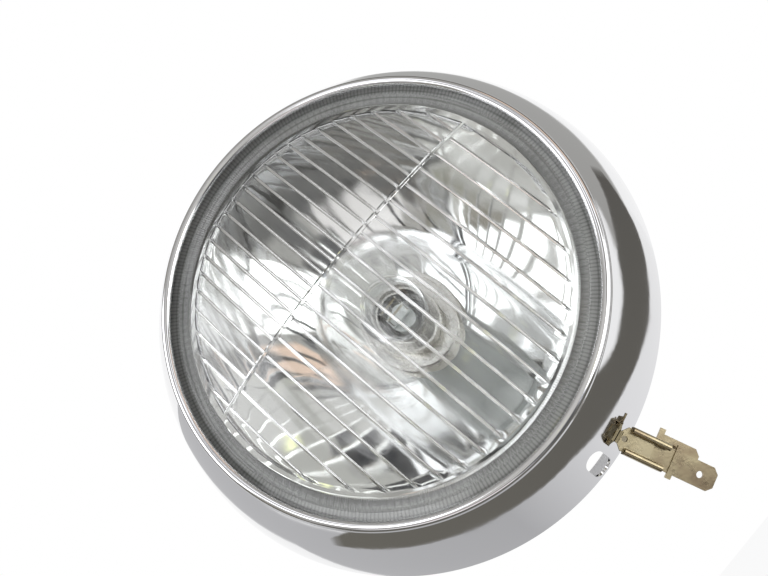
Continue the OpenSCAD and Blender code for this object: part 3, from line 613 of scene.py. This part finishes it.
clear, nt, bs = material("bulb_clear_glass", (0.985, 0.99, 0.99), 0.0)
bs.inputs["Transmission Weight"].default_value = 1.0
bs.inputs["IOR"].default_value = 1.48
nt.links.new(grain(nt, 160, 4, 0.5, 0.9, 0.0, 0.04).outputs["Value"], bs.inputs["Roughness"])
envelope = mesh_piece("bulb_envelope", *lathe(envelope_profile(), 96, closed=False), clear, sharp=50)
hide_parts("bulb_glass")
envelope.visible_shadow = False


# Bulb stem, leads and filaments
# A pinched glass stem carries four nickel leads. Two coiled tungsten filaments lie across the axis
# between them, the dip filament ahead of the main one and a little above it.
FILAMENT_LEN, COIL_R, COIL_WIRE, TURNS, TURN_STEPS = 0.0055, 0.00031, 0.00009, 13, 16
MAIN_Z, DIP_Z, DIP_RISE = SEAT_Z - 0.0175, SEAT_Z - 0.0200, 0.002


def coil(height, depth):
    """A helix along x of the filament's length: radius times (cos, sin) of the turning angle across the
    axis."""
    t = np.linspace(0, 1, TURNS * TURN_STEPS + 1)
    a = 2 * math.pi * TURNS * t
    return np.stack([(t - 0.5) * (FILAMENT_LEN - 2 * COIL_WIRE), depth - REAR + COIL_R * np.cos(a),
                     height + COIL_R * np.sin(a)], 1)


stem_glass = finish("stem_glass", (0.75, 0.78, 0.78), (0.66, 0.69, 0.69), (0.08, 0.2), 0.0, 300, 0.05)
dress("bulb_stem", stem_glass, 0.0002)
nickel = finish("lead_nickel", (0.55, 0.53, 0.50), (0.42, 0.40, 0.37), (0.25, 0.4), scale=400)
dress("lead_wires", nickel)
tungsten = finish("coil_tungsten", (0.50, 0.44, 0.30), (0.38, 0.33, 0.24), (0.3, 0.45), scale=500)
for node, height, depth in (("main_filament", 0, MAIN_Z), ("dip_filament", DIP_RISE, DIP_Z)):
    wire = mesh_piece(node + "_coil", *swept(coil(height, depth), COIL_WIRE, 8), tungsten, sharp=60)
    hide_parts(node)


# Bulb cap
# Nickel-plated brass shell with the locating flange. Black glass closes its end and parts the two solder
# contacts.
cap_nickel = finish("cap_nickel", (0.72, 0.71, 0.68), (0.58, 0.56, 0.52), (0.16, 0.34), scale=140)
dress("bulb_cap", cap_nickel, 0.0001)
black_glass = finish("cap_black_glass", (0.012, 0.012, 0.013), (0.02, 0.02, 0.02), (0.06, 0.16), 0.0, 160,
                     0.04)
dress("cap_insulator", black_glass, 0.0002)
solder = finish("cap_solder", (0.58, 0.58, 0.57), (0.44, 0.44, 0.43), (0.3, 0.5), scale=300, bump=0.25)
dress("cap_contacts", solder, 0.0002)


# Bulb holder
# Zinc-plated shell with bayonet slots round a brown phenolic insulator. Two brass contacts with spade
# blades are riveted on the insulator.
holder_zinc = finish("holder_zinc", (0.66, 0.62, 0.50), (0.50, 0.46, 0.36), (0.22, 0.42), scale=100)
dress("holder_shell", holder_zinc, 0.0001)
phenolic = finish("holder_phenolic", (0.075, 0.032, 0.014), (0.045, 0.018, 0.008), (0.32, 0.5), 0.0, 120,
                  0.12)
dress("holder_insulator", phenolic, 0.0002)
contact_brass = finish("contact_brass", (0.66, 0.53, 0.28), (0.50, 0.39, 0.20), (0.2, 0.4), scale=120)
for node in ("main_contact", "dip_contact"):
    dress(node, contact_brass, 0.00012)
rivet_nickel = finish("rivet_nickel", (0.70, 0.68, 0.63), (0.52, 0.50, 0.45), (0.25, 0.45), scale=200)
dress("contact_rivets", rivet_nickel, 0.00015)


# Earth tab and spade adapter
# A yellowed brass tab fixed on the skirt. The brass adapter's rolled receptacle is pushed on it and
# carries two male blades. Both are dulled by handling.
tab_plate = finish("tab_plate", (0.46, 0.40, 0.26), (0.30, 0.25, 0.15), (0.24, 0.42), scale=150, bump=0.04)
dress("earth_tab", tab_plate)
old_brass = finish("adapter_brass", (0.42, 0.36, 0.23), (0.25, 0.19, 0.125), (0.24, 0.4), scale=150,
                   bump=0.04)
dress("spade_adapter", old_brass, 0.00012)


# Camera
# Close in front and a little below the axis, rolled so that the slot comes to the lower right. Angles are
# in radians, and the focal length is in pixels of a frame 768 wide.
AZ, EL, ROLL, DIST, FOCUS, FRAME_W = -0.00845, -0.36855, -0.88851, 0.240, 939.15, 768
scene = bpy.context.scene
cam = bpy.data.objects.new("camera", bpy.data.cameras.new("camera"))
scene.collection.objects.link(cam)
scene.camera = cam
back = np.array([math.sin(AZ) * math.cos(EL), -math.cos(AZ) * math.cos(EL), math.sin(EL)])
aim = np.array([0.00264, -REAR, -0.0023])
side = np.cross(-back, [0, 0, 1.0])
side /= np.linalg.norm(side)
rise = np.cross(side, -back)
c, s = math.cos(ROLL), math.sin(ROLL)
pose = np.eye(4)
pose[:3, 0], pose[:3, 1], pose[:3, 2] = c * side + s * rise, c * rise - s * side, back
pose[:3, 3] = aim + DIST * back
cam.matrix_world = Matrix(pose.tolist())
cam.data.sensor_width = 36
cam.data.lens = FOCUS / FRAME_W * 36
cam.data.clip_start = 0.01


# Room
# What the chrome, the mirror and the glass see: grey walls and table with bright windows, painted on
# cards that neither the camera nor matt surfaces see. Each card is a soft-edged patch of a sphere round
# the part.
ROOM_R, ROOM_Y, LAYER_STEP = 0.30, -0.02, 0.002


def card(name, shape, light, end_light=None, soft=(2.0, 2.0), layer=0):
    """A glowing patch of the room's sphere: x = r sin(from axis) cos(round axis), z the same with sin, y
    = centre - r cos(from axis). Shape lists (angle round the axis, nearest, furthest angle from it), in
    degrees, the first counted from +X towards +Z. The light runs from one colour to the other round the
    axis, and cover rises smoothly from 0 at the border to 1 over the soft widths. Higher layers lie
    further in."""
    knots = np.array(shape, float)
    turns = np.unique(np.concatenate([np.arange(knots[0, 0], knots[-1, 0], 2.0), [knots[-1, 0]]]))
    near = np.interp(turns, knots[:, 0], knots[:, 1])
    far = np.interp(turns, knots[:, 0], knots[:, 2])
    rows = max(6, int((far - near).max() / 1.5))
    share = np.linspace(0, 1, rows)[:, None]
    th, ps = near + (far - near) * share, turns + 0 * share
    r = ROOM_R - LAYER_STEP * layer
    a, b = np.radians(th), np.radians(ps)
    v = np.stack([r * np.sin(a) * np.cos(b), ROOM_Y - r * np.cos(a), r * np.sin(a) * np.sin(b)], 2)
    me = bpy.data.meshes.new(name)
    me.from_pydata(v.reshape(-1, 3).tolist(), [], grid_faces(rows, len(turns)).tolist())
    k = np.ones(th.shape)
    if soft[0]:
        k = np.minimum(k, np.minimum(th - near, far - th) / soft[0])
    if soft[1]:
        k = np.minimum(k, np.minimum(ps - ps[:, :1], ps[:, -1:] - ps) / soft[1])
    k = np.clip(k, 0, 1)
    me.attributes.new("cover", "FLOAT", "POINT").data.foreach_set("value", (k * k * (3 - 2 * k)).ravel())
    part = (ps - ps[:, :1]) / (ps[:, -1:] - ps[:, :1])
    mix = np.array(light) + part[..., None] * (np.array(end_light or light) - np.array(light))
    rgba = np.concatenate([mix, np.ones((*mix.shape[:2], 1))], 2)
    me.attributes.new("light", "FLOAT_COLOR", "POINT").data.foreach_set("color", rgba.ravel())
    m = bpy.data.materials.new(name)
    m.use_nodes = True
    nodes, links = m.node_tree.nodes, m.node_tree.links
    nodes.clear()
    glow, shade = nodes.new("ShaderNodeEmission"), nodes.new("ShaderNodeMixShader")
    for label, output, socket in (("light", "Color", glow.inputs["Color"]),
                                  ("cover", "Fac", shade.inputs[0])):
        at = nodes.new("ShaderNodeAttribute")
        at.attribute_name = label
        links.new(at.outputs[output], socket)
    links.new(nodes.new("ShaderNodeBsdfTransparent").outputs[0], shade.inputs[1])
    links.new(glow.outputs[0], shade.inputs[2])
    links.new(shade.outputs[0], nodes.new("ShaderNodeOutputMaterial").inputs["Surface"])
    m.cycles.emission_sampling = "NONE"
    me.materials.append(m)
    o = bpy.data.objects.new(name, me)
    scene.collection.objects.link(o)
    o.visible_camera = o.visible_diffuse = o.visible_shadow = o.visible_volume_scatter = False


def ring(near, far):
    """The shape of a card that goes all the way round."""
    return [(0, near, far), (360, near, far)]


ALL_ROUND = (0, 0)
card("room_ahead", ring(0, 35), (0.62, 0.61, 0.59), soft=ALL_ROUND)
card("room_walls", ring(34, 76), (0.42, 0.41, 0.395), soft=ALL_ROUND)
card("room_edge", ring(75, 99), (0.15, 0.143, 0.126), soft=ALL_ROUND)
card("floor_edge",
     [(194, 110, 115), (204, 97, 113), (223, 96, 109.5), (246, 95, 107.5), (269, 95, 108.5),
      (293, 96, 116), (316, 100, 126), (339, 108, 128), (358, 116, 122)],
     (0.16, 0.152, 0.132), (0.115, 0.11, 0.10), (1.2, 3), 3)
card("wall_right", [(328, 97, 127), (345, 98, 126), (380, 98, 130), (425, 98, 136)],
     (0.37, 0.365, 0.35), (0.45, 0.45, 0.44), (2, 6), 2)
card("paper_left", [(140, 104, 138), (180, 106, 130), (215, 98, 150), (246, 98, 150)],
     (0.55, 0.55, 0.56), (0.46, 0.46, 0.47), (3, 0), 1)
card("paper_low", [(246, 98, 150), (284, 98, 150)], (0.46, 0.46, 0.47), (0.82, 0.82, 0.83), (3, 0), 1)
card("paper_right", [(284, 98, 150), (340, 100, 140)], (0.82, 0.82, 0.83), (0.93, 0.93, 0.93), (3, 0), 1)
card("edge_bright", [(292, 80, 96), (303, 78, 103), (320, 76, 106), (346, 80, 105)],
     (0.98, 0.98, 0.98), soft=(2, 4), layer=4)

# Straight ahead, as the bowl reflects it once.
card("window_high", [(112, 8, 18.5), (140, 8, 19), (150, 9, 36), (178, 9, 37), (200, 10, 35), (209, 12, 24)],
     (2.3, 2.3, 2.35), soft=(2, 3), layer=2)
card("window_pale", [(92, 12, 33), (120, 10, 34), (152, 10, 35)],
     (0.42, 0.42, 0.425), (0.62, 0.62, 0.63), (2.5, 3), 1)
card("frame_grey", [(104, 15, 31), (112, 15, 32)], (0.28, 0.28, 0.29), soft=(3, 2.5), layer=2)
card("corner_dark", [(187, 34, 42), (207, 29, 40)], (0.18, 0.18, 0.185), soft=(1.5, 3), layer=2)
card("table_brown", [(207, 9, 23), (225, 6, 19), (264, 8, 16)],
     (0.32, 0.29, 0.25), (0.36, 0.36, 0.29), (2.5, 4), 2)
card("table_light", [(208, 24, 29), (240, 19, 25), (270, 17, 23)], (0.90, 0.89, 0.88), soft=(2, 5), layer=3)
card("glint_warm", [(272, 11.5, 14.5), (288, 11.5, 14.5)], (1.7, 1.7, 0.95), soft=(1, 5), layer=4)
card("glint_low", [(302, 22, 25), (316, 22, 25)], (1.9, 1.95, 1.15), soft=(1, 5), layer=4)
card("dark_right", [(334, 20, 27), (352, 19, 29), (384, 20, 34)], (0.06, 0.06, 0.065), soft=(1.2, 2.5),
     layer=3)
card("dark_high", [(37, 23, 34), (60, 22, 33)], (0.07, 0.07, 0.075), soft=(1.2, 2), layer=4)
card("light_high", [(14, 33, 38), (27, 15, 37), (48, 14, 37), (84, 23, 36)], (1.5, 1.5, 1.55),
     soft=(2, 4), layer=2)

# Round the sides, as the bowl reflects it twice.
card("window_tall", [(116, 39, 76), (150, 39, 74), (168, 41, 68)], (2.6, 2.6, 2.7), soft=(2.5, 5), layer=2)
card("curtain_brown", [(165, 58, 77), (188, 58, 77)], (0.28, 0.27, 0.23), soft=(4, 4), layer=3)
card("sill_light", [(200, 58, 74), (232, 50, 74), (264, 52, 71)],
     (0.95, 0.92, 0.92), (1.0, 0.96, 0.96), (3, 5), 2)
card("sill_pink", [(216, 43, 54), (252, 43, 54)], (0.58, 0.46, 0.46), soft=(4, 8), layer=3)
card("band_dark", [(224, 33, 46), (266, 33, 48)], (0.36, 0.35, 0.34), (0.16, 0.16, 0.16), (3, 5), 3)
card("gap_dark", [(252, 45, 62), (291, 43, 62)], (0.09, 0.09, 0.095), soft=(2.5, 5), layer=4)
card("gap_low", [(266, 60, 73), (283, 60, 73)], (0.11, 0.11, 0.115), soft=(2.5, 4), layer=4)
card("lamp_small", [(283, 48, 52), (291, 48, 52)], (2.4, 2.5, 2.9), soft=(1.5, 3), layer=5)
card("window_low", [(288, 40, 54), (296, 37, 74), (304, 35, 76), (336, 37, 76)], (3.0, 3.0, 3.0),
     soft=(2.5, 4), layer=2)
card("window_right", [(333, 37, 56), (376, 39, 50)], (2.0, 2.0, 2.0), (1.0, 1.0, 1.0), (3, 5), 1)
card("side_dark", [(338, 56, 64), (352, 54, 62)], (0.17, 0.17, 0.175), soft=(1.5, 3), layer=4)
card("wall_salmon", [(340, 66, 77), (358, 60, 77), (392, 60, 76)], (1.0, 0.76, 0.62), soft=(2, 4),
     layer=3)
card("edge_dark", [(190, 68, 79), (262, 67, 79), (300, 70, 79)], (0.10, 0.10, 0.10), soft=(1.5, 5),
     layer=5)


# Studio
# Plain pale floor and one soft light. The camera, the chrome and the glass see white beyond the part, and
# the floor keeps the part's shadow.
FLOOR_Z, FLOOR_HALF, FLOOR_WHITE = -0.32, 3, 0.85
KEY_FROM, KEY_SIZE, KEY_POWER = np.array([-0.45, -0.75, 0.75]), 0.7, 3.0


def only_seen(nt):
    """One for camera, glossy and transmission rays, zero for all others."""
    path = nt.nodes.new("ShaderNodeLightPath")
    seen = path.outputs["Is Camera Ray"]
    for kind in ("Is Glossy Ray", "Is Transmission Ray"):
        seen = math_node(nt, "MAXIMUM", seen, path.outputs[kind])
    return seen


world = bpy.data.worlds.new("room")
scene.world = world
world.use_nodes = True
nt = world.node_tree
both = nt.nodes.new("ShaderNodeMix")
both.data_type = "RGBA"
both.inputs["A"].default_value = (0.70, 0.71, 0.73, 1)
both.inputs["B"].default_value = (1, 1, 1, 1)
nt.links.new(only_seen(nt), both.inputs["Factor"])
nt.links.new(both.outputs["Result"], nt.nodes["Background"].inputs["Color"])

paper, nt, bs = material("floor_paper", (0.9, 0.9, 0.9), 0.8)
white, blend = nt.nodes.new("ShaderNodeEmission"), nt.nodes.new("ShaderNodeMixShader")
white.inputs["Color"].default_value = (1, 1, 1, 1)
nt.links.new(math_node(nt, "MULTIPLY", only_seen(nt), number=FLOOR_WHITE), blend.inputs[0])
nt.links.new(bs.outputs[0], blend.inputs[1])
nt.links.new(white.outputs[0], blend.inputs[2])
nt.links.new(blend.outputs[0], nt.nodes["Material Output"].inputs["Surface"])
paper.cycles.emission_sampling = "NONE"
corners = np.array([(-1, -1), (1, -1), (1, 1), (-1, 1)]) * FLOOR_HALF
me = bpy.data.meshes.new("floor")
me.from_pydata(np.insert(corners.astype(float), 2, FLOOR_Z, 1).tolist(), [], [(0, 1, 2, 3)])
me.materials.append(paper)
floor = bpy.data.objects.new("floor", me)
scene.collection.objects.link(floor)

key = bpy.data.objects.new("soft_key", bpy.data.lights.new("soft_key", "AREA"))
scene.collection.objects.link(key)
key.data.size = KEY_SIZE
key.data.energy = KEY_POWER
z = KEY_FROM / np.linalg.norm(KEY_FROM)
x = np.cross([0, 0, 1.0], z)
x /= np.linalg.norm(x)
pose = np.eye(4)
pose[:3, 0], pose[:3, 1], pose[:3, 2], pose[:3, 3] = x, np.cross(z, x), z, KEY_FROM
key.matrix_world = Matrix(pose.tolist())

scene.view_settings.view_transform = "Standard"
